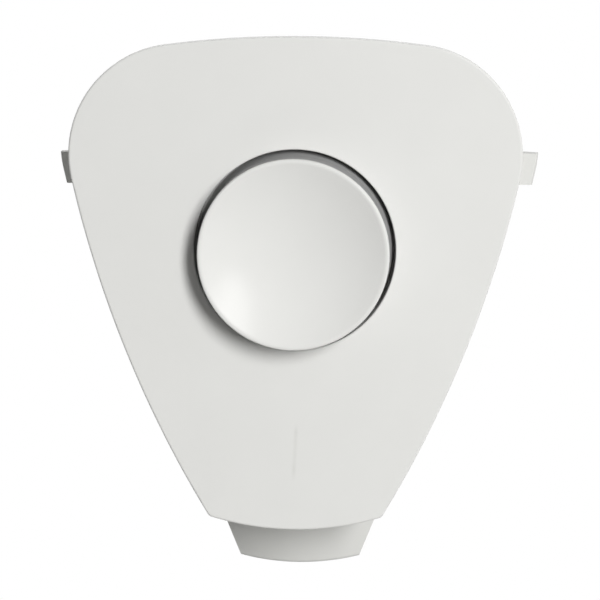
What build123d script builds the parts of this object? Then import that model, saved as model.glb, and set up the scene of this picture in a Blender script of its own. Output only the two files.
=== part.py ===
from build123d import *
import os
from math import sqrt

os.makedirs("parts", exist_ok=True)

# Push-button cistern actuator, in millimetres.
# X is to the right, Y runs from the front to the back and Z is up.
# The origin is on the button's axis, in the plane where the rim rests on the cistern wall.

# Front plate
plate_top = 48.7  # button axis up to the top edge
plate_bottom = 66.0  # button axis down to the bottom edge
shoulder_width = 111.8  # between the points where the top edge and the sides would cross
top_drop = 6.9  # fall of the top edge from its middle to such a point
bottom_width = 40.2  # bottom edge between its unrounded corners
bottom_rise = 3.1  # rise of the bottom edge from its middle to its corners
side_bulge = 5.6  # outward bow of each side
shoulder_round = 25.3
corner_round = 1.6
rim_thickness = 2.6  # at the middle of the bottom edge, where it is thinnest
crown_radius = 800.0  # the front face is part of a large sphere about the button's axis
plate_wall = 2.4
edge_round = 0.5
rim_overhang = 4.0  # the rim stands out this far beyond the skirt
skirt_wall = 2.2
skirt_depth = 9.0
skirt_corner = 3.0
plate_rib_end = 3.0  # back end of the ribs inside the plate
plate_rib_width = 1.4
plate_rib_angles = (20, 65, 115, 160, 215, 250, 290, 325)  # about the button's axis

# Button
button_radius = 21.85
button_gap = 1.3  # between the button and the edge of its hole
hole_edge_round = 0.3
button_proud = 8.5  # button rim in front of the plate
button_travel = 7.0
button_wall = 2.4
button_skirt_wall = 2.0
button_flare = 0.9  # the side widens by this much from the hole's edge back to the flange
dish_radius = 60.0
dish_land = 0.85  # from the edge of the dish to the button's side
dish_edge_round = 1.2  # softens the edge between the dish and the rim
rim_round = 0.45
flange_grip = 2.3  # the flange reaches this far behind the hole's edge
flange_thickness = 2.0
collar_wall = 2.2
collar_end = 1.0  # back end of the collar round the hole
stop_gap = 0.2  # flange to collar with the button out
button_rib_width = 1.2
button_rib_count = 6
button_rib_end = 0.0  # back end of the ribs

# Stem, push rod and lock nut
stem_radius = 5.0
guide_clearance = 0.1
stem_past_sleeve = 0.5
rod_radius = 2.5
rod_clearance = 0.05
rod_engagement = 12.0
rod_reach = 12.0  # rod tip behind the stem
rod_chamfer = 0.6
nut_flats = 8.0
nut_thickness = 4.0
nut_face_inset = 0.2  # bearing face inside the flats
nut_chamfer = 0.5

# Return spring
spring_radius = 8.6  # to the middle of the wire
spring_wire = 1.1
spring_turns = 5  # open turns between the closed ends
closed_turns = 1  # at each end
closed_gap = 0.1  # between turns that are closed up
spring_seat_width = 5.2
spring_seat_thickness = 2.9  # at the middle of the dish
spring_end_gap = 0.1

# Mounting frame
frame_thickness = 2.5
lip_wall = 2.0
lip_round = 0.5
frame_rib_height = 6.0
frame_rib_width = 1.6
frame_rib_angles = (18, 52, 128, 162, 212, 245, 295, 328)  # about the button's axis
cup_gap = 1.2  # flange to cup wall
cup_wall = 2.2
cup_round = 1.5
cup_spare = 5.8  # behind the flange with the button fully in
sleeve_wall = 2.1
sleeve_front = 7.0  # sleeve in front of the cup's floor
sleeve_back = 4.0  # sleeve behind the cup
wall_grip = 18.0  # wall that fits between the rim and the lugs
lug_reach = 4.3  # beyond the front plate's outline
lug_middle = 16.4  # above the button axis
lug_tall = 7.4
lug_depth = 8.0
lug_ramp = 5.0
lug_round = 0.6
tongue_drop = 13.9  # below the plate's bottom edge
tongue_tip_width = 28.6
tongue_root_width = 44.6
tongue_root_rise = 7.0  # root above the plate's bottom edge
tongue_sag = 1.1
tongue_bow = 33.0  # radius of its face, about an upright axis
tongue_lean = 13.0  # the face leans back towards its tip, in degrees
tongue_depth = 12.0
tongue_wall = 2.0
tongue_round = 0.8

# Screws
screw_radius = 1.45
screw_length = 10.0
screw_head_radius = 3.0
screw_head_height = 2.1
screw_head_round = 0.9
screw_slot_width = 0.9
screw_slot_length = 3.4
screw_slot_depth = 1.1
screw_hole_clearance = 0.25
pilot_clearance = 0.05
pilot_spare = 0.8  # hole beyond the screw's tip
boss_radius = 3.6
upper_boss_drop = 17.7  # below the plate's top edge
upper_boss_inset = 20.8  # from the shoulder point
lower_boss_rise = 15.9  # above the plate's bottom edge
lower_boss_inset = 7.0  # from the bottom corner

# Lever, pivot pin and clip
pivot_height = 26.0  # above the button axis
lever_width = 6.0
lever_side_gap = 0.4
lever_hub_radius = 4.8
lever_pocket_depth = 1.7
lever_border = 1.7
lever_edge_round = 0.5
nose_radius = 3.0
nose_gap = 0.2  # rod tip to nose at rest
back_arm = 34.0
back_arm_drop = 4.0  # eye below the pivot
eye_radius = 4.4
eye_bore_radius = 2.2
ear_thickness = 3.0
ear_boss_radius = 4.8
ear_base = 19.0
pin_radius = 2.0
pin_clearance = 0.06
pin_head_radius = 3.4
pin_head_thickness = 1.4
pin_tail = 2.2  # beyond the ear, for the clip
clip_groove_radius = 1.5
clip_groove_width = 0.9
clip_thickness = 0.7
clip_radius = 3.8
clip_bore_clearance = 0.05
clip_mouth = 2.4

# Sizes that follow from the ones above
crown_centre = sqrt(crown_radius**2 - plate_bottom**2) - rim_thickness
crown_front = crown_radius - crown_centre
hole_radius = button_radius + button_gap
hole_front = sqrt(crown_radius**2 - hole_radius**2) - crown_centre
collar_radius = hole_radius + collar_wall
flange_radius = hole_radius + flange_grip
flange_front = collar_end + stop_gap
flange_back = flange_front + flange_thickness
button_front = -(hole_front + button_proud)
dish_edge = button_radius - dish_land
dish_depth = dish_radius - sqrt(dish_radius**2 - dish_edge**2)
dish_bottom = button_front + dish_depth
dish_centre = dish_bottom - dish_radius
button_inside = button_radius - button_skirt_wall
spring_seat_radius = stem_radius + spring_seat_width
spring_seat = dish_bottom + spring_seat_thickness
frame_back = skirt_depth + frame_thickness
lip_end = wall_grip + lug_depth
cup_radius = flange_radius + cup_gap
cup_floor = flange_back + button_travel + cup_spare
cup_back = cup_floor + frame_thickness
sleeve_end = cup_back + sleeve_back
sleeve_radius = stem_radius + guide_clearance + sleeve_wall
stem_end = sleeve_end + stem_past_sleeve
rod_tip = stem_end + rod_reach
nut_back = stem_end + nut_thickness
nut_face_radius = nut_flats / 2 - nut_face_inset
nut_corner_radius = nut_flats / sqrt(3)
pivot_depth = rod_tip + nose_gap + nose_radius
ear_inside = lever_width / 2 + lever_side_gap
ear_outside = ear_inside + ear_thickness
eye_depth = pivot_depth + back_arm
eye_height = pivot_height - back_arm_drop
cavity_inset = rim_overhang + skirt_wall
screw_tip = frame_back - screw_length
upper_boss_x = shoulder_width / 2 - upper_boss_inset
lower_boss_x = bottom_width / 2 - lower_boss_inset
upper_boss_z = plate_top - upper_boss_drop
lower_boss_z = lower_boss_rise - plate_bottom
screw_points = [
    (-upper_boss_x, upper_boss_z),
    (upper_boss_x, upper_boss_z),
    (-lower_boss_x, lower_boss_z),
    (lower_boss_x, lower_boss_z),
]
spring_start = spring_seat + spring_end_gap + spring_wire / 2
spring_length = cup_floor - spring_end_gap - spring_wire / 2 - spring_start
closed_pitch = spring_wire + closed_gap
open_pitch = (spring_length - 2 * closed_turns * closed_pitch) / spring_turns
tongue_root = tongue_root_rise - plate_bottom
tongue_tip = -plate_bottom - tongue_drop
pin_end = ear_outside + pin_tail


def at_depth(depth):
    """Plane across the button's axis, drawn as seen from the front."""
    return Plane.XZ.offset(-depth)


def dish_back(radius):
    """Depth of the button's inner face, which runs parallel to the dish."""
    return dish_centre + sqrt((dish_radius + button_wall) ** 2 - radius**2)


def shield(inset, corner):
    """Outline of the front plate, drawn inside the real edge by the inset, with rounded bottom corners."""
    half_shoulder = shoulder_width / 2
    half_bottom = bottom_width / 2
    upper_left = (-half_shoulder, plate_top - top_drop)
    upper_right = (half_shoulder, plate_top - top_drop)
    lower_left = (-half_bottom, bottom_rise - plate_bottom)
    lower_right = (half_bottom, bottom_rise - plate_bottom)
    with BuildSketch() as outline:
        with BuildLine():
            ThreePointArc(upper_left, (0, plate_top), upper_right)
            SagittaArc(upper_right, lower_right, side_bulge)
            ThreePointArc(lower_right, (0, -plate_bottom), lower_left)
            SagittaArc(lower_left, upper_left, side_bulge)
        make_face()
        if inset > 0:
            offset(amount=-inset, kind=Kind.INTERSECTION, mode=Mode.REPLACE)
        fillet(outline.vertices().group_by(Axis.Y)[-1], shoulder_round - inset)
        fillet(outline.vertices().group_by(Axis.Y)[0], corner)
    return outline.sketch


def tongue_body(inset):
    """Solid tongue below the frame's lip, drawn inside its real faces by the inset."""
    with BuildPart() as body:
        with BuildSketch(at_depth(wall_grip)):
            with BuildLine():
                Polyline(
                    (tongue_tip_width / 2, tongue_tip + tongue_sag),
                    (tongue_root_width / 2, tongue_root),
                    (-tongue_root_width / 2, tongue_root),
                    (-tongue_tip_width / 2, tongue_tip + tongue_sag),
                )
                ThreePointArc(
                    (-tongue_tip_width / 2, tongue_tip + tongue_sag),
                    (0, tongue_tip),
                    (tongue_tip_width / 2, tongue_tip + tongue_sag),
                )
            make_face()
            add(shield(rim_overhang + lip_wall / 2, skirt_corner), mode=Mode.SUBTRACT)
            if inset > 0:
                offset(amount=-inset, mode=Mode.REPLACE)
        extrude(amount=-tongue_depth)
        with Locations(Location((0, wall_grip, tongue_root), (tongue_lean, 0, 0))):
            with Locations((0, tongue_bow, 0)):
                Cylinder(tongue_bow - inset, 4 * tongue_drop, mode=Mode.INTERSECT)
    return body.part


def rays(angles, width):
    """Strips from the button's axis outwards, one for each angle."""
    for angle in angles:
        Rectangle(shoulder_width, width, rotation=angle, align=(Align.MIN, Align.CENTER))


# Hollow of the cover plate, up to the back of its crowned front wall
with BuildPart() as plate_hollow:
    with BuildSketch(at_depth(skirt_depth)):
        add(shield(cavity_inset, skirt_corner))
    extrude(amount=skirt_depth + crown_front)
    with Locations((0, crown_centre, 0)):
        Sphere(crown_radius - plate_wall, mode=Mode.INTERSECT)

# Collar, ribs and screw bosses on the back of the front wall, with their roots inside that wall
with BuildPart() as plate_stiffeners:
    with BuildSketch(at_depth(collar_end)):
        Circle(collar_radius)
    extrude(amount=collar_end + crown_front)
    with BuildSketch(at_depth(plate_rib_end)):
        rays(plate_rib_angles, plate_rib_width)
        add(shield(cavity_inset, skirt_corner), mode=Mode.INTERSECT)
        Circle(cup_radius, mode=Mode.SUBTRACT)
    extrude(amount=plate_rib_end + crown_front)
    with BuildSketch(at_depth(skirt_depth)):
        with Locations(*screw_points):
            Circle(boss_radius)
    extrude(amount=skirt_depth + crown_front)
    with Locations((0, crown_centre, 0)):
        Sphere(crown_radius - plate_wall / 2, mode=Mode.INTERSECT)

# Cover plate: crowned shield with a thin rim, a skirt behind it and a round hole for the button
with BuildPart() as cover_plate:
    with BuildSketch(at_depth(0)):
        add(shield(0, corner_round))
    extrude(amount=2 * crown_front)
    with Locations((0, crown_centre, 0)):
        Sphere(crown_radius, mode=Mode.INTERSECT)
    front_face = cover_plate.faces().sort_by(Axis.Y)[0]
    fillet(front_face.outer_wire().edges(), edge_round)
    with BuildSketch(at_depth(0)):
        add(shield(rim_overhang, skirt_corner))
    extrude(amount=-skirt_depth)
    add(plate_hollow.part, mode=Mode.SUBTRACT)
    add(plate_stiffeners.part)
    with BuildSketch(at_depth(skirt_depth)):
        with Locations(*screw_points):
            Circle(screw_radius + pilot_clearance)
    extrude(amount=skirt_depth - screw_tip + pilot_spare, mode=Mode.SUBTRACT)
    with BuildSketch(at_depth(skirt_depth)):
        Circle(hole_radius)
    extrude(amount=skirt_depth + 2 * crown_front, mode=Mode.SUBTRACT)
    hole_edge = cover_plate.edges().filter_by(GeomType.CIRCLE).sort_by(Axis.Y)[0]
    fillet(hole_edge, hole_edge_round)
cover_plate.part.label = "cover_plate"
export_step(cover_plate.part, "parts/cover_plate.step")

# Push button: dished cap with a stop flange, inner ribs and a guided stem
with BuildPart() as push_button:
    with BuildSketch(Plane.XY):
        with BuildLine():
            Polyline(
                (0, button_front),
                (button_radius, button_front),
                (button_radius, -hole_front),
                (button_radius + button_flare, flange_front),
                (flange_radius, flange_front),
                (flange_radius, flange_back),
                (button_inside, flange_back),
                (button_inside, dish_back(button_inside)),
            )
            ThreePointArc(
                (button_inside, dish_back(button_inside)),
                ((button_inside + spring_seat_radius) / 2, dish_back((button_inside + spring_seat_radius) / 2)),
                (spring_seat_radius, dish_back(spring_seat_radius)),
            )
            Polyline(
                (spring_seat_radius, dish_back(spring_seat_radius)),
                (spring_seat_radius, spring_seat),
                (stem_radius, spring_seat),
                (stem_radius, stem_end),
                (rod_radius + rod_clearance, stem_end),
                (rod_radius + rod_clearance, stem_end - rod_engagement),
                (0, stem_end - rod_engagement),
                (0, button_front),
            )
        make_face()
    revolve(axis=Axis.Y)
    with Locations((0, dish_centre, 0)):
        Sphere(dish_radius, mode=Mode.SUBTRACT)
    for ring, ring_round in ((-1, rim_round), (0, dish_edge_round)):
        front_rings = push_button.edges().filter_by(GeomType.CIRCLE).group_by(Axis.Y)[0]
        fillet(front_rings.sort_by(SortBy.RADIUS)[ring], ring_round)
    with BuildSketch(at_depth(button_rib_end)):
        with PolarLocations((spring_seat_radius + button_inside) / 2, button_rib_count):
            Rectangle(button_skirt_wall + button_inside - spring_seat_radius, button_rib_width)
    extrude(amount=button_rib_end - dish_bottom - button_wall / 2)
push_button.part.label = "push_button"
export_step(push_button.part, "parts/push_button.step")

# Push rod: screwed into the stem, with a domed tip that rolls on the lever's nose
with BuildPart() as push_rod:
    with BuildSketch(at_depth(stem_end - rod_engagement)):
        Circle(rod_radius)
    extrude(amount=-(rod_engagement + rod_reach - rod_radius))
    chamfer(push_rod.edges().filter_by(GeomType.CIRCLE).sort_by(Axis.Y)[0], rod_chamfer)
    with Locations((0, rod_tip - rod_radius, 0)):
        Sphere(rod_radius)
push_rod.part.label = "push_rod"
export_step(push_rod.part, "parts/push_rod.step")

# Lock nut: hexagon with chamfered corners, against the end of the stem
with BuildPart() as rod_lock_nut:
    with BuildSketch(Plane.XY):
        with BuildLine():
            Polyline(
                (rod_radius + rod_clearance, stem_end),
                (nut_face_radius, stem_end),
                (nut_corner_radius, stem_end + nut_chamfer),
                (nut_corner_radius, nut_back - nut_chamfer),
                (nut_face_radius, nut_back),
                (rod_radius + rod_clearance, nut_back),
                close=True,
            )
        make_face()
    revolve(axis=Axis.Y)
    with BuildSketch(at_depth(stem_end)):
        RegularPolygon(nut_flats / 2, 6, major_radius=False)
    extrude(amount=-nut_thickness, mode=Mode.INTERSECT)
rod_lock_nut.part.label = "rod_lock_nut"
export_step(rod_lock_nut.part, "parts/rod_lock_nut.step")

# Return spring: coil between the button and the floor of the cup, with its end turns closed up.
# Each half turn is an arc in a tilted plane. At its ends it runs straight up or down, so the next one joins smoothly.
closed_rises = [closed_pitch / 2] * (2 * closed_turns)
open_rises = [open_pitch / 2] * (2 * spring_turns)
with BuildPart() as return_spring:
    side = 1
    depth = spring_start
    for rise in closed_rises + open_rises + closed_rises:
        with BuildSketch(Plane.XY):
            with Locations((side * spring_radius, depth)):
                Circle(spring_wire / 2)
        turning = Axis((0, depth + rise / 2, 0), (-side * rise / 2, -spring_radius, 0))
        revolve(axis=turning, revolution_arc=180)
        side = -side
        depth = depth + rise
return_spring.part.label = "return_spring"
export_step(return_spring.part, "parts/return_spring.step")

# Tongue of the mounting frame: bowed tray below the lip, open at the back
with BuildPart() as frame_tongue:
    add(tongue_body(0))
    tongue_face = frame_tongue.faces().sort_by(Axis.Y)[0]
    fillet(tongue_face.edges().sort_by(Axis.Z)[0], tongue_round)
    add(tongue_body(tongue_wall), mode=Mode.SUBTRACT)

# Mounting frame: ribbed plate with a cup for the button, pivot ears, side lugs and a bottom tongue
with BuildPart() as mounting_frame:
    with BuildSketch(at_depth(skirt_depth)):
        add(shield(rim_overhang, skirt_corner))
    extrude(amount=-frame_thickness)
    with BuildSketch(at_depth(skirt_depth)):
        Circle(cup_radius + cup_wall)
    extrude(amount=-(cup_back - skirt_depth))
    fillet(mounting_frame.edges().group_by(Axis.Y)[-1], cup_round)
    with BuildSketch(at_depth(frame_back)):
        add(shield(rim_overhang, skirt_corner))
        add(shield(rim_overhang + lip_wall, skirt_corner), mode=Mode.SUBTRACT)
    extrude(amount=-(lip_end - frame_back))
    fillet(mounting_frame.edges().filter_by_position(Axis.Y, lip_end, lip_end), lip_round)
    with BuildSketch(at_depth(frame_back)):
        rays(frame_rib_angles, frame_rib_width)
        add(shield(rim_overhang + lip_wall / 2, skirt_corner), mode=Mode.INTERSECT)
    extrude(amount=-frame_rib_height)
    # side lugs follow the plate's outline and slope back to the lip
    with BuildSketch(at_depth(wall_grip)):
        with Locations((-lug_reach, 0), (lug_reach, 0)):
            add(shield(0, corner_round))
        with Locations((0, lug_middle)):
            Rectangle(2 * shoulder_width, lug_tall, mode=Mode.INTERSECT)
        add(shield(rim_overhang + lip_wall / 2, skirt_corner), mode=Mode.SUBTRACT)
    extrude(amount=-lug_depth)
    lug_sides = mounting_frame.faces().sort_by(Axis.X)
    for side in (lug_sides[0], lug_sides[-1]):
        ramp_edge = side.edges().sort_by(Axis.Y)[-1]
        chamfer(ramp_edge, lug_ramp, lug_reach + rim_overhang, reference=side)
    lug_front = mounting_frame.edges().filter_by_position(Axis.Y, wall_grip, wall_grip).sort_by(Axis.X)
    fillet(lug_front[:2] + lug_front[-2:], lug_round)
    add(frame_tongue.part)
    # two ears behind the cup carry the pivot pin
    for side in (-1, 1):
        with BuildSketch(Plane.YZ.offset(side * ear_inside)):
            with Locations((pivot_depth, pivot_height)):
                Circle(ear_boss_radius)
            with Locations((frame_back, pivot_height)):
                Rectangle(frame_thickness, ear_base, align=(Align.MAX, Align.CENTER))
            make_hull()
        extrude(amount=side * ear_thickness)
    with BuildSketch(Plane.YZ):
        with Locations((pivot_depth, pivot_height)):
            Circle(pin_radius + pin_clearance)
    extrude(amount=ear_outside, both=True, mode=Mode.SUBTRACT)
    # hollow of the cup, then the guide sleeve that stands on its floor
    with BuildSketch(at_depth(cup_floor)):
        Circle(cup_radius)
    extrude(amount=cup_floor, mode=Mode.SUBTRACT)
    with BuildSketch(at_depth(sleeve_end)):
        Circle(sleeve_radius)
    extrude(amount=sleeve_end - cup_floor + sleeve_front)
    with BuildSketch(at_depth(sleeve_end)):
        Circle(stem_radius + guide_clearance)
        with Locations(*screw_points):
            Circle(screw_radius + screw_hole_clearance)
    extrude(amount=sleeve_end, mode=Mode.SUBTRACT)
mounting_frame.part.label = "mounting_frame"
export_step(mounting_frame.part, "parts/mounting_frame.step")

# Lever: bell crank with a round nose for the rod and an eye for the valve's link
arm_ends = ((pivot_depth, 0, nose_radius), (eye_depth, eye_height, eye_radius))
with BuildPart() as lift_lever:
    for end_depth, end_height, end_radius in arm_ends:
        with BuildSketch(Plane.YZ):
            with Locations((pivot_depth, pivot_height)):
                Circle(lever_hub_radius)
            with Locations((end_depth, end_height)):
                Circle(end_radius)
            make_hull()
        extrude(amount=lever_width / 2, both=True)
    fillet(lift_lever.faces().filter_by(Axis.X).edges(), lever_edge_round)
    # a shallow pocket in each side of each arm, between the hub and the arm's end
    for end_depth, end_height, end_radius in arm_ends:
        hub = Vector(pivot_depth, pivot_height)
        arm = Vector(end_depth, end_height) - hub
        narrowing = (lever_hub_radius - end_radius) / arm.length
        pocket_start = 2 * lever_hub_radius
        pocket_stop = arm.length - 2 * end_radius
        for side in (-1, 1):
            with BuildSketch(Plane.YZ.offset(side * lever_width / 2)):
                for reach in (pocket_start, pocket_stop):
                    with Locations(hub + arm.normalized() * reach):
                        Circle(lever_hub_radius - narrowing * reach - lever_border)
                make_hull()
            extrude(amount=-side * lever_pocket_depth, mode=Mode.SUBTRACT)
    with BuildSketch(Plane.YZ):
        with Locations((pivot_depth, pivot_height)):
            Circle(pin_radius + pin_clearance)
        with Locations((eye_depth, eye_height)):
            Circle(eye_bore_radius)
    extrude(amount=lever_width, both=True, mode=Mode.SUBTRACT)
lift_lever.part.label = "lift_lever"
export_step(lift_lever.part, "parts/lift_lever.step")

# Pivot pin: headed, with a groove for its clip
with BuildPart() as pivot_pin:
    with BuildSketch(Plane.YZ.offset(-ear_outside)):
        with Locations((pivot_depth, pivot_height)):
            Circle(pin_radius)
    extrude(amount=ear_outside + pin_end)
    with BuildSketch(Plane.YZ.offset(-ear_outside)):
        with Locations((pivot_depth, pivot_height)):
            Circle(pin_head_radius)
    extrude(amount=-pin_head_thickness)
    with BuildSketch(Plane.YZ.offset(ear_outside)):
        with Locations((pivot_depth, pivot_height)):
            Circle(pin_radius)
            Circle(clip_groove_radius, mode=Mode.SUBTRACT)
    extrude(amount=clip_groove_width, mode=Mode.SUBTRACT)
pivot_pin.part.label = "pivot_pin"
export_step(pivot_pin.part, "parts/pivot_pin.step")

# Spring clip: open washer in the pin's groove
with BuildPart() as pin_clip:
    with BuildSketch(Plane.YZ.offset(ear_outside)):
        with Locations((pivot_depth, pivot_height)):
            Circle(clip_radius)
            Circle(clip_groove_radius + clip_bore_clearance, mode=Mode.SUBTRACT)
            Rectangle(clip_mouth, 2 * clip_radius, align=(Align.CENTER, Align.MAX), mode=Mode.SUBTRACT)
    extrude(amount=clip_thickness)
pin_clip.part.label = "pin_clip"
export_step(pin_clip.part, "parts/pin_clip.step")

# Cover screws: round heads with a cross recess, driven from behind
with BuildPart() as cover_screws:
    with BuildSketch(at_depth(frame_back)):
        with Locations(*screw_points):
            Circle(screw_head_radius)
    extrude(amount=-screw_head_height)
    fillet(cover_screws.edges().group_by(Axis.Y)[-1], screw_head_round)
    with BuildSketch(at_depth(frame_back)):
        with Locations(*screw_points):
            Circle(screw_radius)
    extrude(amount=screw_length)
    with BuildSketch(at_depth(frame_back + screw_head_height)):
        with Locations(*screw_points):
            Rectangle(screw_slot_length, screw_slot_width)
            Rectangle(screw_slot_width, screw_slot_length)
    extrude(amount=screw_slot_depth, mode=Mode.SUBTRACT)
cover_screws.part.label = "cover_screws"
export_step(cover_screws.part, "parts/cover_screws.step")
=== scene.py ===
# %% [markdown]
# # A push-button cistern actuator
# The object is a white moulded plate with a dished push button. Behind the plate sit a frame, a coil
# spring, a push rod and a bell-crank lever that lifts the flush valve.
# The solids come ready made, at their real size and place. This lesson gives them their finishes, makes
# the pieces that need finer meshes, and lights the whole as in a small photo studio.
# Blender works in metres, so sizes below are written in millimetres times MM.
# X is to the right, Y runs from the front to the back and Z is up.

# %% Load the solids
import math

import bmesh
import bpy
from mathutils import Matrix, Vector


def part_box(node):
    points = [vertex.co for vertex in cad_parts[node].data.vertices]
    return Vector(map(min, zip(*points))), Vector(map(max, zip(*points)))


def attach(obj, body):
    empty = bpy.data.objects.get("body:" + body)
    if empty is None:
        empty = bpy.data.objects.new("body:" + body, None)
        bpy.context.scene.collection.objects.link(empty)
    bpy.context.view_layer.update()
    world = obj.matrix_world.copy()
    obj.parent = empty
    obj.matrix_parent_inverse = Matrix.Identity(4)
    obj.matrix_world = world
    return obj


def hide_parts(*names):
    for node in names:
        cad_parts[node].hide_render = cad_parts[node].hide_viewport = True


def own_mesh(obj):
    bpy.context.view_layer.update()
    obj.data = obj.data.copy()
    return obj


MM = 0.001
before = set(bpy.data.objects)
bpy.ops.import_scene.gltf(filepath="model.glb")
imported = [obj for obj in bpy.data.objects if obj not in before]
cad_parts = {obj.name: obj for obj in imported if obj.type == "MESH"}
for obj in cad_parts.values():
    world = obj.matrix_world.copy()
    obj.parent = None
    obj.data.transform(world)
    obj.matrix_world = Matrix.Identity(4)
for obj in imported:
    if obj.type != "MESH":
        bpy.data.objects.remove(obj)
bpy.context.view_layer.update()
scene = bpy.context.scene
print("solids:", ", ".join(sorted(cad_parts)))

# %% [markdown]
# ## Two small helpers
# Colours are written the way a paint program shows them, as sRGB hex values, and Blender's shaders want
# linear light, so one function turns the one into the other.
# Material nodes and geometry nodes are added in the same way, so one function serves both: it makes a
# node, sets its properties or sockets, and links what feeds it. A socket goes by its name, or by its place
# in the list where several share a name.

# %% Colour and node helpers
def linear(hex_colour):
    """Linear RGBA of an sRGB colour written as RRGGBB, by the sRGB standard's own formula."""
    channels = [int(hex_colour[start : start + 2], 16) / 255 for start in (0, 2, 4)]
    return [c / 12.92 if c <= 0.04045 else ((c + 0.055) / 1.055) ** 2.4 for c in channels] + [1.0]


def add_node(tree, kind, settings=None, links=None):
    """Add a node. Settings name its properties or sockets. Links name the sockets that others feed."""
    node = tree.nodes.new(kind)
    for name, value in (settings or {}).items():
        if isinstance(name, int) or name in node.inputs:
            node.inputs[name].default_value = value
        else:
            setattr(node, name, value)
    for name, source in (links or {}).items():
        socket = source.outputs[0] if isinstance(source, bpy.types.Node) else source
        tree.links.new(socket, node.inputs[name])
    return node


print("pure white is", linear("FFFFFF"))

# %% [markdown]
# ## Starting and closing a material
# Every finish of the object ends in one Principled shader, and every pattern is measured in millimetres on
# the object itself. The first function opens a material and hands out the object's own coordinates, the
# second closes it with the shader. Between the two stand only the nodes that make that finish what it is.

# %% Material helpers
def open_material(name):
    """A new material, its empty node tree and the object's coordinates in metres."""
    material = bpy.data.materials.new(name)
    material.use_nodes = True
    tree = material.node_tree
    tree.nodes.clear()
    return material, tree, add_node(tree, "ShaderNodeTexCoord").outputs["Object"]


def close_material(material, settings, links):
    """End the material in a Principled shader with these constant and linked sockets."""
    tree = material.node_tree
    shader = add_node(tree, "ShaderNodeBsdfPrincipled", settings, links)
    add_node(tree, "ShaderNodeOutputMaterial", links={"Surface": shader})
    print(material.name, "has", len(tree.nodes), "nodes")


print("made", open_material.__name__, "and", close_material.__name__)

# %% [markdown]
# ## Gloss ABS
# The plate and the button are injection-moulded ABS in sanitary white. ABS has a refractive index near
# 1.53. A polished mould gives a smooth skin, so a lamp shows in it as a soft patch. In the photograph that
# patch is one weak spot in the button's dish. At the shader's usual specular level it came out far too
# large and bright, so the level is turned well down.
# One flat colour would look like a colour on a screen. Two slow patterns prevent that: shrinkage waves of a
# few millimetres, and clouds of a little more or less gloss and white.

# %% Skin of the gloss ABS
ABS_IOR = 1.53
ABS_SPECULAR = 0.07  # the shader's usual level is 0.5
GLOSS_SMOOTH, GLOSS_DULL = 0.2, 0.24  # roughness at the two ends of the clouds
GLOSS_CLOUD = 14 * MM
SHRINK_WAVE = 7 * MM
SHRINK_HEIGHT = 0.004 * MM
MIX_A, MIX_B, MIX_COLOUR = 6, 7, 2  # places of a Mix node's colour inputs and of its colour output

gloss_abs, tree, place = open_material("gloss_white_abs")
waves = add_node(tree, "ShaderNodeTexNoise", {"Scale": 1 / SHRINK_WAVE, "Detail": 1.0}, {"Vector": place})
skin = add_node(tree, "ShaderNodeBump", {"Distance": SHRINK_HEIGHT}, {"Height": waves})
cloud = add_node(tree, "ShaderNodeTexNoise", {"Scale": 1 / GLOSS_CLOUD, "Detail": 3.0}, {"Vector": place})
gloss = add_node(
    tree, "ShaderNodeMapRange", {"To Min": GLOSS_SMOOTH, "To Max": GLOSS_DULL}, {"Value": cloud}
)
clean = add_node(
    tree,
    "ShaderNodeMix",
    {"data_type": "RGBA", MIX_A: linear("EBEBE8"), MIX_B: linear("E7E7E4")},
    {0: cloud},
)
print("waves and clouds in mm:", round(SHRINK_WAVE / MM, 1), round(GLOSS_CLOUD / MM, 1))

# %% [markdown]
# ### The weld line
# Below the button's hole the two streams of plastic met while the mould filled. That left a weld line, a
# faint grey streak a millimetre wide. It could be painted on, but drawing it by the distance to its
# middle line keeps it sharp at any size and needs no picture. It fades out at both ends, and a noise
# breaks it up along the way.

# %% Weld line
WELD_RISE = 11.6 * MM  # from the plate's bottom edge up to the foot of the line
WELD_LENGTH = 14.2 * MM
WELD_TOP_X, WELD_FOOT_X = 0.35 * MM, -0.4 * MM
WELD_HALF_WIDTH = 0.75 * MM
WELD_FADE = 2.5 * MM
WELD_PATCH = 4 * MM

weld_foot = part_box("cover_plate")[0].z + WELD_RISE
weld_top = weld_foot + WELD_LENGTH
axes = add_node(tree, "ShaderNodeSeparateXYZ", links={0: place})
middle = add_node(
    tree,
    "ShaderNodeMapRange",
    {"From Min": weld_top, "From Max": weld_foot, "To Min": WELD_TOP_X, "To Max": WELD_FOOT_X},
    {"Value": axes.outputs["Z"]},
)
aside = add_node(tree, "ShaderNodeMath", {"operation": "SUBTRACT"}, {0: axes.outputs["X"], 1: middle})
off_line = add_node(tree, "ShaderNodeMath", {"operation": "ABSOLUTE"}, {0: aside})
streak = add_node(
    tree,
    "ShaderNodeMapRange",
    {"interpolation_type": "SMOOTHSTEP", "From Min": WELD_HALF_WIDTH, "From Max": 0.0},
    {"Value": off_line},
)
for end, inwards in ((weld_top, -WELD_FADE), (weld_foot, WELD_FADE)):
    fade = add_node(
        tree, "ShaderNodeMapRange", {"From Min": end, "From Max": end + inwards}, {"Value": axes.outputs["Z"]}
    )
    streak = add_node(tree, "ShaderNodeMath", {"operation": "MULTIPLY"}, {0: streak, 1: fade})
patches = add_node(tree, "ShaderNodeTexNoise", {"Scale": 1 / WELD_PATCH}, {"Vector": place})
streak = add_node(tree, "ShaderNodeMath", {"operation": "MULTIPLY"}, {0: streak, 1: patches})
welded = add_node(
    tree,
    "ShaderNodeMix",
    {"data_type": "RGBA", MIX_B: linear("DDDDD9")},
    {0: streak, MIX_A: clean.outputs[MIX_COLOUR]},
)
print("weld line from", round(weld_top / MM, 1), "to", round(weld_foot / MM, 1), "mm")

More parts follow.
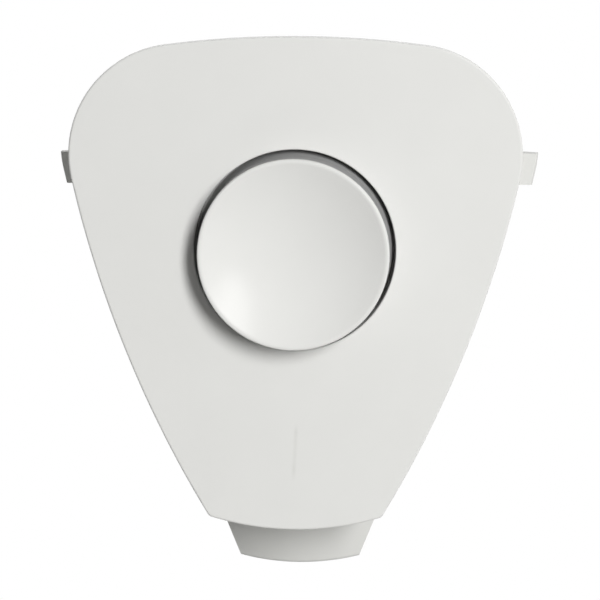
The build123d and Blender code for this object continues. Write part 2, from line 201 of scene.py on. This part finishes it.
# %% [markdown]
# ### Painted shade in the gap
# The gap round the button is narrow and deep, and the light dies in it. So a darker grey is painted on the
# button's side and on the wall of the hole, as painted shade. It could be a second material on those faces,
# but its edge would then be sharp. It is placed by the distance from the button's axis, which keeps it off
# the dish and off the plate's face, and by the depth behind the button's rim.

# %% Painted shade in the gap on the gloss ABS
# sizes of the painted shade in the gap: a darker grey on the button's side and on the hole's wall
GAP_SHADE_INNER = 21.6 * MM  # the dish lies inside this radius
GAP_SHADE_FULL, GAP_SHADE_NONE = 22.3 * MM, 23.6 * MM  # radii between which it thins out towards the plate
GAP_SHADE_START, GAP_SHADE_DEEP = 0.3 * MM, 2.0 * MM  # depths behind the rim between which it thickens

button_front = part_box("push_button")[0].y
across = add_node(tree, "ShaderNodeCombineXYZ", links={"X": axes.outputs["X"], "Z": axes.outputs["Z"]})
off_axis = add_node(tree, "ShaderNodeVectorMath", {"operation": "LENGTH"}, {0: across})
# painted shade mask: 1 on the button's side and the hole's wall inside the gap, 0 elsewhere
painted_shade_and_tarnish = add_node(
    tree, "ShaderNodeMath", {"operation": "GREATER_THAN", 1: GAP_SHADE_INNER}, {0: off_axis.outputs["Value"]}
)
for unshaded_at, shaded_at, source in (
    (GAP_SHADE_NONE, GAP_SHADE_FULL, off_axis.outputs["Value"]),
    (button_front + GAP_SHADE_START, button_front + GAP_SHADE_DEEP, axes.outputs["Y"]),
):
    share = add_node(
        tree,
        "ShaderNodeMapRange",
        {"interpolation_type": "SMOOTHSTEP", "From Min": unshaded_at, "From Max": shaded_at},
        {"Value": source},
    )
    painted_shade_and_tarnish = add_node(tree, "ShaderNodeMath", {"operation": "MULTIPLY"}, {0: painted_shade_and_tarnish, 1: share})
# painted shade: the darker grey B6B6B6 is mixed in where the mask is 1
gap_shaded_colour = add_node(
    tree,
    "ShaderNodeMix",
    {"data_type": "RGBA", MIX_B: linear("B6B6B6")},
    {0: painted_shade_and_tarnish, MIX_A: welded.outputs[MIX_COLOUR]},
)
close_material(
    gloss_abs,
    {"IOR": ABS_IOR, "Specular IOR Level": ABS_SPECULAR},
    {"Base Color": gap_shaded_colour.outputs[MIX_COLOUR], "Roughness": gloss, "Normal": skin},
)

# %% [markdown]
# ## Satin ABS
# The frame behind the plate is the same plastic from a spark-eroded mould, which leaves a fine satin grain.
# As faces the grain would need millions of them, so a bump node bends the light instead. The real grain is
# a few hundredths of a millimetre. It is drawn at a third of a millimetre, because finer grain would not
# show in the picture.

# %% Satin white ABS
SATIN_SMOOTH, SATIN_DULL = 0.38, 0.52  # roughness
SATIN_CLOUD = 9 * MM
MOULD_GRAIN = 0.35 * MM
GRAIN_HEIGHT = 0.006 * MM

satin_abs, tree, place = open_material("satin_white_abs")
grain = add_node(tree, "ShaderNodeTexNoise", {"Scale": 1 / MOULD_GRAIN, "Detail": 2.0}, {"Vector": place})
skin = add_node(tree, "ShaderNodeBump", {"Distance": GRAIN_HEIGHT}, {"Height": grain})
cloud = add_node(tree, "ShaderNodeTexNoise", {"Scale": 1 / SATIN_CLOUD, "Detail": 2.0}, {"Vector": place})
gloss = add_node(
    tree, "ShaderNodeMapRange", {"To Min": SATIN_SMOOTH, "To Max": SATIN_DULL}, {"Value": cloud}
)
white = add_node(
    tree,
    "ShaderNodeMix",
    {"data_type": "RGBA", MIX_A: linear("DADAD7"), MIX_B: linear("D6D6D2")},
    {0: cloud},
)
close_material(
    satin_abs,
    {"IOR": ABS_IOR},
    {"Base Color": white.outputs[MIX_COLOUR], "Roughness": gloss, "Normal": skin},
)

# %% [markdown]
# ## Natural acetal
# Levers that slide on a rod are often moulded in acetal, left in its own milky white. It is slippery,
# slightly waxy and lets a little light in. A plain white would look too hard for it, so the shader gets some
# subsurface scattering over a millimetre.

# %% Natural acetal
ACETAL_IOR = 1.48
ACETAL_SMOOTH, ACETAL_DULL = 0.32, 0.44  # roughness
MILK_CLOUD = 6 * MM
LIGHT_SHARE = 0.2  # share of the light that goes in
LIGHT_DEPTH = 1.0 * MM

acetal, tree, place = open_material("natural_acetal")
cloud = add_node(tree, "ShaderNodeTexNoise", {"Scale": 1 / MILK_CLOUD, "Detail": 3.0}, {"Vector": place})
milk = add_node(
    tree,
    "ShaderNodeMix",
    {"data_type": "RGBA", MIX_A: linear("E6E2D4"), MIX_B: linear("DEDACB")},
    {0: cloud},
)
gloss = add_node(
    tree, "ShaderNodeMapRange", {"To Min": ACETAL_SMOOTH, "To Max": ACETAL_DULL}, {"Value": cloud}
)
close_material(
    acetal,
    {"IOR": ACETAL_IOR, "Subsurface Weight": LIGHT_SHARE, "Subsurface Scale": LIGHT_DEPTH},
    {"Base Color": milk.outputs[MIX_COLOUR], "Roughness": gloss},
)

# %% [markdown]
# ## Turned brass
# The push rod and its nut are turned from brass bar. The tool leaves fine rings about the button's axis,
# which spread a highlight along the rod. A wave texture along that axis gives them without any faces. They
# are drawn a quarter of a millimetre apart, coarser than on the real rod, so that they show. A thin brown
# film of age comes and goes over the metal.

# %% Turned brass
BRASS_BRIGHT, BRASS_DULL = 0.22, 0.42  # roughness
WAVE_SPACING = 2 * math.pi / 20  # metres between the bands of a wave texture at a scale of 1
TURNING_STEP = 0.25 * MM
TURNING_HEIGHT = 0.003 * MM
TURNING_WANDER = 0.4
TARNISH_PATCH = 5 * MM

brass, tree, place = open_material("turned_brass")
rings = add_node(
    tree,
    "ShaderNodeTexWave",
    {"bands_direction": "Y", "Scale": WAVE_SPACING / TURNING_STEP, "Distortion": TURNING_WANDER},
    {"Vector": place},
)
skin = add_node(tree, "ShaderNodeBump", {"Distance": TURNING_HEIGHT}, {"Height": rings})
# the brown tarnish of age, the brass's own colour
painted_shade_and_tarnish = add_node(tree, "ShaderNodeTexNoise", {"Scale": 1 / TARNISH_PATCH, "Detail": 4.0}, {"Vector": place})
metal = add_node(
    tree,
    "ShaderNodeMix",
    {"data_type": "RGBA", MIX_A: linear("DDBB6E"), MIX_B: linear("B58A45")},
    {0: painted_shade_and_tarnish},
)
gloss = add_node(
    tree, "ShaderNodeMapRange", {"To Min": BRASS_BRIGHT, "To Max": BRASS_DULL}, {"Value": painted_shade_and_tarnish}
)
close_material(
    brass,
    {"Metallic": 1.0},
    {"Base Color": metal.outputs[MIX_COLOUR], "Roughness": gloss, "Normal": skin},
)

# %% [markdown]
# ## Zinc-plated steel
# The screws, the pin, its clip and the spring are steel with a thin bright zinc plating. Plating is never
# even: the gloss changes from patch to patch, with a bluish cast where it is thin. One even metal would look
# like a mirror, so a pattern of small cells times a slow noise drives both the gloss and the colour.

# %% Zinc-plated steel
ZINC_BRIGHT, ZINC_DULL = 0.22, 0.45  # roughness
ZINC_SPANGLE = 1.2 * MM
ZINC_CLOUD = 4 * MM

steel, tree, place = open_material("zinc_plated_steel")
spangle = add_node(tree, "ShaderNodeTexVoronoi", {"Scale": 1 / ZINC_SPANGLE}, {"Vector": place})
cloud = add_node(tree, "ShaderNodeTexNoise", {"Scale": 1 / ZINC_CLOUD, "Detail": 4.0}, {"Vector": place})
patch = add_node(tree, "ShaderNodeMath", {"operation": "MULTIPLY"}, {0: spangle, 1: cloud})
metal = add_node(
    tree,
    "ShaderNodeMix",
    {"data_type": "RGBA", MIX_A: linear("CDD0D3"), MIX_B: linear("AEB6C2")},
    {0: patch},
)
gloss = add_node(
    tree, "ShaderNodeMapRange", {"To Min": ZINC_BRIGHT, "To Max": ZINC_DULL}, {"Value": patch}
)
close_material(steel, {"Metallic": 1.0}, {"Base Color": metal.outputs[MIX_COLOUR], "Roughness": gloss})

# %% [markdown]
# ## Finishes on the solids
# The solids keep their shapes. Only their material slot changes, so each one takes the finish of the real
# piece.

# %% Give the solids their finishes
finishes = {
    "cover_plate": gloss_abs,
    "push_button": gloss_abs,
    "mounting_frame": satin_abs,
    "lift_lever": acetal,
    "rod_lock_nut": brass,
    "pivot_pin": steel,
    "pin_clip": steel,
    "cover_screws": steel,
}
for node, material in finishes.items():
    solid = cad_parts[node]
    solid.data.materials.clear()
    solid.data.materials.append(material)
print("finished solids:", len(finishes))

# %% [markdown]
# ## Growing a piece from a rule
# The spring and the thread both follow a rule, so Geometry Nodes can grow them from a few sizes. The first
# function opens a node tree with one named input for each size. The second ends it with smooth shading, real
# faces and a material. Both pieces go round the button's axis, so a third one turns a number of turns, a
# radius and a depth into a point.

# %% Geometry tree helpers
def open_geometry(name, sizes):
    """A geometry tree with a named input for each size. Returns the tree and its input sockets."""
    tree = bpy.data.node_groups.new(name, "GeometryNodeTree")
    tree.interface.new_socket("Geometry", in_out="OUTPUT", socket_type="NodeSocketGeometry")
    for label in sizes:
        tree.interface.new_socket(label, in_out="INPUT", socket_type="NodeSocketFloat")
    return tree, add_node(tree, "NodeGroupInput").outputs


def close_geometry(tree, shape, material):
    """End the tree with smooth shading, realized instances and a material."""
    smooth = add_node(tree, "GeometryNodeSetShadeSmooth", links={"Geometry": shape})
    real = add_node(tree, "GeometryNodeRealizeInstances", links={"Geometry": smooth})
    dressed = add_node(tree, "GeometryNodeSetMaterial", {"Material": material}, {"Geometry": real})
    add_node(tree, "NodeGroupOutput", links={0: dressed})
    print(tree.name, "has", len(tree.nodes), "nodes")


def point_round_axis(tree, turns, radius, depth):
    """The point at this many turns from X towards Z, this far from the button's axis and at this depth."""
    angle = add_node(tree, "ShaderNodeMath", {"operation": "MULTIPLY", 1: 2 * math.pi}, {0: turns})
    across = add_node(tree, "ShaderNodeMath", {"operation": "COSINE"}, {0: angle})
    upwards = add_node(tree, "ShaderNodeMath", {"operation": "SINE"}, {0: angle})
    on_circle = add_node(tree, "ShaderNodeCombineXYZ", links={"X": across, "Z": upwards})
    ring = add_node(tree, "ShaderNodeVectorMath", {"operation": "SCALE"}, {0: on_circle, "Scale": radius})
    at_depth = add_node(tree, "ShaderNodeCombineXYZ", links={"Y": depth})
    return add_node(tree, "ShaderNodeVectorMath", {"operation": "ADD"}, {0: ring, 1: at_depth})


print("made", ", ".join(helper.__name__ for helper in (open_geometry, close_geometry, point_round_axis)))

# %% [markdown]
# ### From a tree to a mesh
# A modifier runs the tree on an empty mesh. It could stay on the piece, but a plain mesh is easier to hand
# on, so the result is kept and the modifier taken off. Points that lie on each other at a seam or a pole are
# then merged, and the faces are turned outwards.

# %% Mesh helper
MERGE_DISTANCE = 0.004 * MM


def grow(name, tree, sizes):
    """Run the tree with these sizes and return the result as an object with a plain closed mesh."""
    piece = bpy.data.objects.new(name, bpy.data.meshes.new(name))
    scene.collection.objects.link(piece)
    modifier = piece.modifiers.new("shape", "NODES")
    modifier.node_group = tree
    for socket in tree.interface.items_tree:
        if socket.in_out == "INPUT":
            modifier[socket.identifier] = sizes[socket.name]
    shape = bpy.data.meshes.new_from_object(piece.evaluated_get(bpy.context.evaluated_depsgraph_get()))
    piece.modifiers.remove(modifier)
    piece.data = shape
    work = bmesh.new()
    work.from_mesh(shape)
    bmesh.ops.remove_doubles(work, verts=work.verts, dist=MERGE_DISTANCE)
    bmesh.ops.recalc_face_normals(work, faces=work.faces)
    open_edges = sum(len(edge.link_faces) != 2 for edge in work.edges)
    work.to_mesh(shape)
    work.free()
    print(name, "has", len(shape.polygons), "faces and", open_edges, "open edges")
    return piece


print("points are merged within", round(MERGE_DISTANCE / MM, 4), "mm")

# %% [markdown]
# ## The return spring
# A compression spring is steel wire wound on a mandrel, with the last turn at each end closed up so that it
# sits flat. The button presses its front end and the cup in the frame holds its back end.
# A Screw modifier could wind it, but with one pitch only. Here its middle line is a straight line that is
# bent round the axis: the further along, the more turns. Each closed turn climbs by little more than the
# wire, each open turn by the open pitch. Smooth minimum and maximum nodes round the change between the two.

# %% Climb of the spring
SPRING_SIZES = ("Coil Radius", "Wire", "Open Turns", "Closed Turns", "Open Pitch", "Closed Pitch", "Front")
PITCH_BLEND = 0.3  # turns over which the pitch changes

spring_tree, size = open_geometry("coil_spring", SPRING_SIZES)
ends = add_node(spring_tree, "ShaderNodeMath", {"operation": "MULTIPLY", 1: 2.0}, {0: size["Closed Turns"]})
all_turns = add_node(spring_tree, "ShaderNodeMath", {"operation": "ADD"}, {0: ends, 1: size["Open Turns"]})
share = add_node(spring_tree, "GeometryNodeSplineParameter").outputs["Factor"]
turn = add_node(spring_tree, "ShaderNodeMath", {"operation": "MULTIPLY"}, {0: share, 1: all_turns})
past_end = add_node(
    spring_tree, "ShaderNodeMath", {"operation": "SUBTRACT"}, {0: turn, 1: size["Closed Turns"]}
)
from_open = add_node(
    spring_tree, "ShaderNodeMath", {"operation": "SMOOTH_MAX", 1: 0.0, 2: PITCH_BLEND}, {0: past_end}
)
open_turn = add_node(
    spring_tree,
    "ShaderNodeMath",
    {"operation": "SMOOTH_MIN", 2: PITCH_BLEND},
    {0: from_open, 1: size["Open Turns"]},
)
extra = add_node(
    spring_tree, "ShaderNodeMath", {"operation": "SUBTRACT"}, {0: size["Open Pitch"], 1: size["Closed Pitch"]}
)
closed_climb = add_node(
    spring_tree,
    "ShaderNodeMath",
    {"operation": "MULTIPLY_ADD"},
    {0: turn, 1: size["Closed Pitch"], 2: size["Front"]},
)
depth = add_node(
    spring_tree, "ShaderNodeMath", {"operation": "MULTIPLY_ADD"}, {0: open_turn, 1: extra, 2: closed_climb}
)
print("the climb takes", len(spring_tree.nodes), "nodes")

# %% [markdown]
# The straight line is divided finely enough for smooth turns and each of its points is set on the coil. The
# wire is a small circle that is swept along it, with its two ends capped.

# %% Wire of the spring
OPEN_TURNS, CLOSED_TURNS = 5, 1  # the closed ones at each end
POINTS_PER_TURN = 56
WIRE_SIDES = 14

line = add_node(spring_tree, "GeometryNodeCurvePrimitiveLine", {"End": (0.0, 1.0, 0.0)})
fine_line = add_node(
    spring_tree,
    "GeometryNodeResampleCurve",
    {"Count": (OPEN_TURNS + 2 * CLOSED_TURNS) * POINTS_PER_TURN},
    {"Curve": line},
)
point = point_round_axis(spring_tree, turn, size["Coil Radius"], depth)
coil = add_node(spring_tree, "GeometryNodeSetPosition", links={"Geometry": fine_line, "Position": point})
half_wire = add_node(spring_tree, "ShaderNodeMath", {"operation": "MULTIPLY", 1: 0.5}, {0: size["Wire"]})
section = add_node(
    spring_tree, "GeometryNodeCurvePrimitiveCircle", {"Resolution": WIRE_SIDES}, {"Radius": half_wire}
)
wire = add_node(
    spring_tree, "GeometryNodeCurveToMesh", {"Fill Caps": True}, {"Curve": coil, "Profile Curve": section}
)
close_geometry(spring_tree, wire, steel)

# %% [markdown]
# The sizes come from the spring's solid: its box gives the coil's diameter and the two ends. When the button
# goes in, the real spring shortens towards the cup's floor by the button's travel, which is the upper limit
# of the button's joint.

# %% Return spring
SPRING_WIRE = 1.1 * MM
CLOSED_PITCH = 1.2 * MM

spring_low, spring_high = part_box("return_spring")
spring_front = spring_low.y + SPRING_WIRE / 2
spring_back = spring_high.y - SPRING_WIRE / 2
open_length = spring_back - spring_front - 2 * CLOSED_TURNS * CLOSED_PITCH
spring = grow(
    "coil_return_spring",
    spring_tree,
    {
        "Coil Radius": spring_high.x - SPRING_WIRE / 2,
        "Wire": SPRING_WIRE,
        "Open Turns": OPEN_TURNS,
        "Closed Turns": CLOSED_TURNS,
        "Open Pitch": open_length / OPEN_TURNS,
        "Closed Pitch": CLOSED_PITCH,
        "Front": spring_front,
    },
)
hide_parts("return_spring")
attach(spring, "housing")
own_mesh(spring)

# %% [markdown]
# ## The push rod
# The rod is an M5 screw with a domed tip: its crest is 5 mm across and the thread climbs 0.8 mm a turn.
# A thread could be cut by sweeping a V along a helix, but the sweep and the core would overlap. Here one flat
# grid is rolled into a tube instead, and the thread is a change of the tube's radius. One side of the grid
# runs along the rod, the other round it.

# %% Sheet of the push rod
ROD_SIZES = ("Length", "Radius", "Pitch", "Thread Depth", "Front")
ROD_RINGS = 260
ROD_SIDES = 40

rod_tree, size = open_geometry("threaded_rod", ROD_SIZES)
sheet = add_node(
    rod_tree,
    "GeometryNodeMeshGrid",
    {"Size X": 1.0, "Size Y": 1.0, "Vertices X": ROD_RINGS, "Vertices Y": ROD_SIDES + 1},
)
corner = add_node(rod_tree, "GeometryNodeInputPosition")
moved = add_node(rod_tree, "ShaderNodeVectorMath", {"operation": "ADD", 1: (0.5, 0.5, 0.0)}, {0: corner})
shares = add_node(rod_tree, "ShaderNodeSeparateXYZ", links={0: moved})
round_share = shares.outputs["Y"]
quarter = add_node(
    rod_tree, "ShaderNodeMath", {"operation": "MULTIPLY", 1: math.pi / 2}, {0: shares.outputs["X"]}
)
# a sine brings the rings closer together towards the dome
eased = add_node(rod_tree, "ShaderNodeMath", {"operation": "SINE"}, {0: quarter})
along = add_node(rod_tree, "ShaderNodeMath", {"operation": "MULTIPLY"}, {0: eased, 1: size["Length"]})
print("the sheet has", ROD_RINGS, "rings of", ROD_SIDES, "sides")

# %% [markdown]
# ### The thread
# The radius falls and rises once in each pitch along the rod. Adding the share of a turn round the rod makes
# the ridge climb by itself, and gives a right-handed thread. A ping-pong node makes the zigzag from crest to
# root, and a Map Range node cuts its points off, as flats that take an eighth of the flank each.

# %% Thread of the push rod
FLANK = 0.5  # turns from the middle of a crest to the middle of a root
FLAT = FLANK / 8

pitches = add_node(rod_tree, "ShaderNodeMath", {"operation": "DIVIDE"}, {0: along, 1: size["Pitch"]})
climb = add_node(rod_tree, "ShaderNodeMath", {"operation": "ADD"}, {0: pitches, 1: round_share})
zigzag = add_node(rod_tree, "ShaderNodeMath", {"operation": "PINGPONG", 1: FLANK}, {0: climb})
groove = add_node(
    rod_tree,
    "ShaderNodeMapRange",
    {"From Min": FLAT, "From Max": FLANK - FLAT},
    {"Value": zigzag, "To Max": size["Thread Depth"]},
)
threaded = add_node(rod_tree, "ShaderNodeMath", {"operation": "SUBTRACT"}, {0: size["Radius"], 1: groove})
print("flats at crest and root in turns:", 2 * FLAT)

# %% [markdown]
# ### The rod's ends
# The dome and the flat end are smaller radii that win near the two ends. In the dome the radius follows from
# a right-angled triangle, and at the flat end it grows steeply from nothing. The smallest of the three radii
# then rolls the sheet up.

# %% Ends of the push rod
END_SLOPE = 20.0  # radius over distance at the flat end

shank = add_node(
    rod_tree, "ShaderNodeMath", {"operation": "SUBTRACT"}, {0: size["Length"], 1: size["Radius"]}
)
past_shank = add_node(rod_tree, "ShaderNodeMath", {"operation": "SUBTRACT"}, {0: along, 1: shank})
in_dome = add_node(rod_tree, "ShaderNodeMath", {"operation": "MAXIMUM", 1: 0.0}, {0: past_shank})
dome_square = add_node(rod_tree, "ShaderNodeMath", {"operation": "MULTIPLY"}, {0: in_dome, 1: in_dome})
full_square = add_node(
    rod_tree, "ShaderNodeMath", {"operation": "MULTIPLY"}, {0: size["Radius"], 1: size["Radius"]}
)
left_square = add_node(
    rod_tree, "ShaderNodeMath", {"operation": "SUBTRACT"}, {0: full_square, 1: dome_square}
)
dome = add_node(rod_tree, "ShaderNodeMath", {"operation": "SQRT"}, {0: left_square})
flat_end = add_node(rod_tree, "ShaderNodeMath", {"operation": "MULTIPLY", 1: END_SLOPE}, {0: along})
capped = add_node(rod_tree, "ShaderNodeMath", {"operation": "MINIMUM"}, {0: dome, 1: flat_end})
radius = add_node(rod_tree, "ShaderNodeMath", {"operation": "MINIMUM"}, {0: threaded, 1: capped})
depth = add_node(rod_tree, "ShaderNodeMath", {"operation": "ADD"}, {0: along, 1: size["Front"]})
point = point_round_axis(rod_tree, round_share, radius, depth)
tube = add_node(rod_tree, "GeometryNodeSetPosition", links={"Geometry": sheet, "Position": point})
close_geometry(rod_tree, tube, brass)

# %% [markdown]
# The box of the rod's solid gives its length and radius. Pitch and depth are those of a coarse M5 thread. The
# rod is screwed into the button's stem, so it rides on the button.

# %% Push rod
THREAD_PITCH = 0.8 * MM
THREAD_DEPTH = 0.49 * MM

rod_low, rod_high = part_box("push_rod")
rod = grow(
    "threaded_push_rod",
    rod_tree,
    {
        "Length": rod_high.y - rod_low.y,
        "Radius": rod_high.x,
        "Pitch": THREAD_PITCH,
        "Thread Depth": THREAD_DEPTH,
        "Front": rod_low.y,
    },
)
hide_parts("push_rod")
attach(rod, "button")
print("rod tip in mm:", round(rod_high.y / MM, 2))

# %% [markdown]
# ## The camera
# The photograph was taken from almost straight ahead, a little from above and from the right, through a long
# lens. The camera could be placed by hand in the viewport, but two angles and a distance from the point that
# it looks at can be set one at a time. The lens follows from the width that fills the square picture.

# %% Camera
AIM = Vector((1.16, -3.0, -11.75)) * MM
CAMERA_AZIMUTH = math.radians(2.3)
CAMERA_ELEVATION = math.radians(8.7)
CAMERA_DISTANCE = 700 * MM
FRAMED_WIDTH = 138 * MM
SENSOR_WIDTH = 36.0  # in millimetres, as Blender counts it

towards_camera = Vector(
    (
        math.sin(CAMERA_AZIMUTH) * math.cos(CAMERA_ELEVATION),
        -math.cos(CAMERA_AZIMUTH) * math.cos(CAMERA_ELEVATION),
        math.sin(CAMERA_ELEVATION),
    )
)
camera_data = bpy.data.cameras.new("camera")
camera_data.sensor_width = SENSOR_WIDTH
camera_data.lens = SENSOR_WIDTH * CAMERA_DISTANCE / FRAMED_WIDTH
camera = bpy.data.objects.new("camera", camera_data)
camera.location = AIM + towards_camera * CAMERA_DISTANCE
camera.rotation_euler = towards_camera.to_track_quat("Z", "Y").to_euler()
scene.collection.objects.link(camera)
scene.camera = camera
print("lens in mm:", round(camera_data.lens, 1))

# %% [markdown]
# ## The lamp
# One tall soft box stands to the upper right, in front of the plate. Its place shows in the button's shadow,
# which falls to the left and a little down. Its size shows in how soft the edge of that shadow is: sharp on
# the left and wide below, so the box is taller than wide. It stands far off, so that the light is even over
# the plate.

# %% Lamp
LAMP_DIRECTION = Vector((0.435, -1.0, 0.305)).normalized()
LAMP_DISTANCE = 3.0  # metres, as its width and height
LAMP_WIDTH, LAMP_HEIGHT = 0.72, 1.7
LAMP_WATTS = 80.0

lamp_data = bpy.data.lights.new("soft_box", "AREA")
lamp_data.shape = "ELLIPSE"
lamp_data.size = LAMP_WIDTH
lamp_data.size_y = LAMP_HEIGHT
lamp_data.energy = LAMP_WATTS
lamp = bpy.data.objects.new("soft_box", lamp_data)
lamp.location = LAMP_DIRECTION * LAMP_DISTANCE
lamp.rotation_euler = LAMP_DIRECTION.to_track_quat("Z", "Y").to_euler()
scene.collection.objects.link(lamp)
print("lamp height in degrees:", round(math.degrees(LAMP_HEIGHT / LAMP_DISTANCE), 1))

# %% [markdown]
# ## White where it is looked at
# The background is plain white, as in a catalogue. A world as bright as that would wash out every shadow, so
# the Light Path node shows white only to the camera, in reflections and through clear pieces. The function
# below picks out those rays, for the room and for the floor.

# %% Rays that see white
WHITE_RAYS = ("Is Camera Ray", "Is Glossy Ray", "Is Transmission Ray")


def seen_rays(tree):
    """A socket that is 1 for the camera's rays, reflections and rays through a clear piece, and else 0."""
    ray = add_node(tree, "ShaderNodeLightPath").outputs
    seen = ray[WHITE_RAYS[0]]
    for name in WHITE_RAYS[1:]:
        either = add_node(tree, "ShaderNodeMath", {"operation": "MAXIMUM"}, {0: seen, 1: ray[name]})
        seen = either.outputs[0]
    return seen


print("rays that see white:", ", ".join(WHITE_RAYS))

# %% [markdown]
# ## The room
# For diffuse light the room is dim, apart from two soft places. Behind the object hangs a white backdrop,
# which lights the back and the edges of the plate and leaves the shadows on its front alone. Above and to the
# right is a pale wall, which adds the weak light that the shadows on the front still show. Both could be lit
# boards, but as places in the world they never stand in a view.

# %% Light of the room
BACKDROP_LIGHT = 1.0
BACKDROP_START, BACKDROP_FULL = 0.0, 0.6  # Y of the direction where it starts and where it is full
WALL_LIGHT = 0.25
WALL_SIDE = Vector((0.5, -0.2, 0.84))  # direction of the wall's middle
WALL_START, WALL_FULL = -0.2, 0.9  # cosine of the angle to it where the light starts and is full

world = bpy.data.worlds.new("studio")
scene.world = world
world.use_nodes = True
tree = world.node_tree
tree.nodes.clear()
direction = add_node(tree, "ShaderNodeTexCoord").outputs["Generated"]
axes = add_node(tree, "ShaderNodeSeparateXYZ", links={0: direction})
towards_wall = add_node(
    tree, "ShaderNodeVectorMath", {"operation": "DOT_PRODUCT", 1: WALL_SIDE}, {0: direction}
)
backdrop, wall = [
    add_node(
        tree,
        "ShaderNodeMapRange",
        {"interpolation_type": "SMOOTHSTEP", "From Min": start, "From Max": full, "To Max": light},
        {"Value": facing},
    )
    for facing, start, full, light in (
        (axes.outputs["Y"], BACKDROP_START, BACKDROP_FULL, BACKDROP_LIGHT),
        (towards_wall.outputs["Value"], WALL_START, WALL_FULL, WALL_LIGHT),
    )
]
room = add_node(tree, "ShaderNodeMath", {"operation": "MAXIMUM"}, {0: backdrop, 1: wall})
strength = add_node(
    tree, "ShaderNodeMapRange", {"To Max": 1.0}, {"Value": seen_rays(tree), "To Min": room}
)
background = add_node(tree, "ShaderNodeBackground", {"Color": linear("FFFFFF")}, {"Strength": strength})
add_node(tree, "ShaderNodeOutputWorld", links={"Surface": background})
scene.view_settings.view_transform = "Standard"
print("light from the wall:", WALL_LIGHT, "and from the backdrop:", BACKDROP_LIGHT)

# %% [markdown]
# ## The floor
# A round sheet of matte card lies well below the object, so it throws only a little light back up, and the
# object's shadow falls on it. Under the dim room it would look grey. A lamp of its own could brighten it, but
# would light the object too. The card therefore mixes white into what the camera and the reflections see,
# more of it towards its edge, so that no edge shows when the object is looked at from above.

# %% Matte card
FLOOR_RADIUS = 600 * MM
FLOOR_FADE_START = 320 * MM
FLOOR_PALE = 0.65  # share of white that the camera sees in the middle of the card
CARD_FIBRE = 2 * MM

card, tree, place = open_material("matte_white_card")
axes = add_node(tree, "ShaderNodeSeparateXYZ", links={0: place})
flat = add_node(tree, "ShaderNodeCombineXYZ", links={"X": axes.outputs["X"], "Y": axes.outputs["Y"]})
reach = add_node(tree, "ShaderNodeVectorMath", {"operation": "LENGTH"}, {0: flat})
fade = add_node(
    tree,
    "ShaderNodeMapRange",
    {
        "interpolation_type": "SMOOTHSTEP",
        "From Min": FLOOR_FADE_START,
        "From Max": FLOOR_RADIUS,
        "To Min": FLOOR_PALE,
    },
    {"Value": reach.outputs["Value"]},
)
whiten = add_node(tree, "ShaderNodeMath", {"operation": "MULTIPLY"}, {0: fade, 1: seen_rays(tree)})
fibre = add_node(tree, "ShaderNodeTexNoise", {"Scale": 1 / CARD_FIBRE}, {"Vector": place})
paper = add_node(
    tree,
    "ShaderNodeMix",
    {"data_type": "RGBA", MIX_A: linear("DADAD8"), MIX_B: linear("D5D5D3")},
    {0: fibre},
)
matte = add_node(tree, "ShaderNodeBsdfDiffuse", {"Roughness": 1.0}, {"Color": paper.outputs[MIX_COLOUR]})
bright = add_node(tree, "ShaderNodeEmission", {"Color": linear("FFFFFF")})
surface = add_node(tree, "ShaderNodeMixShader", links={0: whiten, 1: matte, 2: bright})
add_node(tree, "ShaderNodeOutputMaterial", links={"Surface": surface})
print(card.name, "has", len(tree.nodes), "nodes")

# %% [markdown]
# The sheet is one round face. It belongs to the studio and not to the object.

# %% Floor
FLOOR_DEPTH = 450 * MM
FLOOR_SIDES = 96

work = bmesh.new()
bmesh.ops.create_circle(work, cap_ends=True, radius=FLOOR_RADIUS, segments=FLOOR_SIDES)
bmesh.ops.translate(work, verts=work.verts, vec=(0, 0, -FLOOR_DEPTH))
floor = bpy.data.objects.new("floor", bpy.data.meshes.new("floor"))
work.to_mesh(floor.data)
work.free()
floor.data.materials.append(card)
scene.collection.objects.link(floor)
print("floor lies", round(FLOOR_DEPTH / MM), "mm below the button's axis")
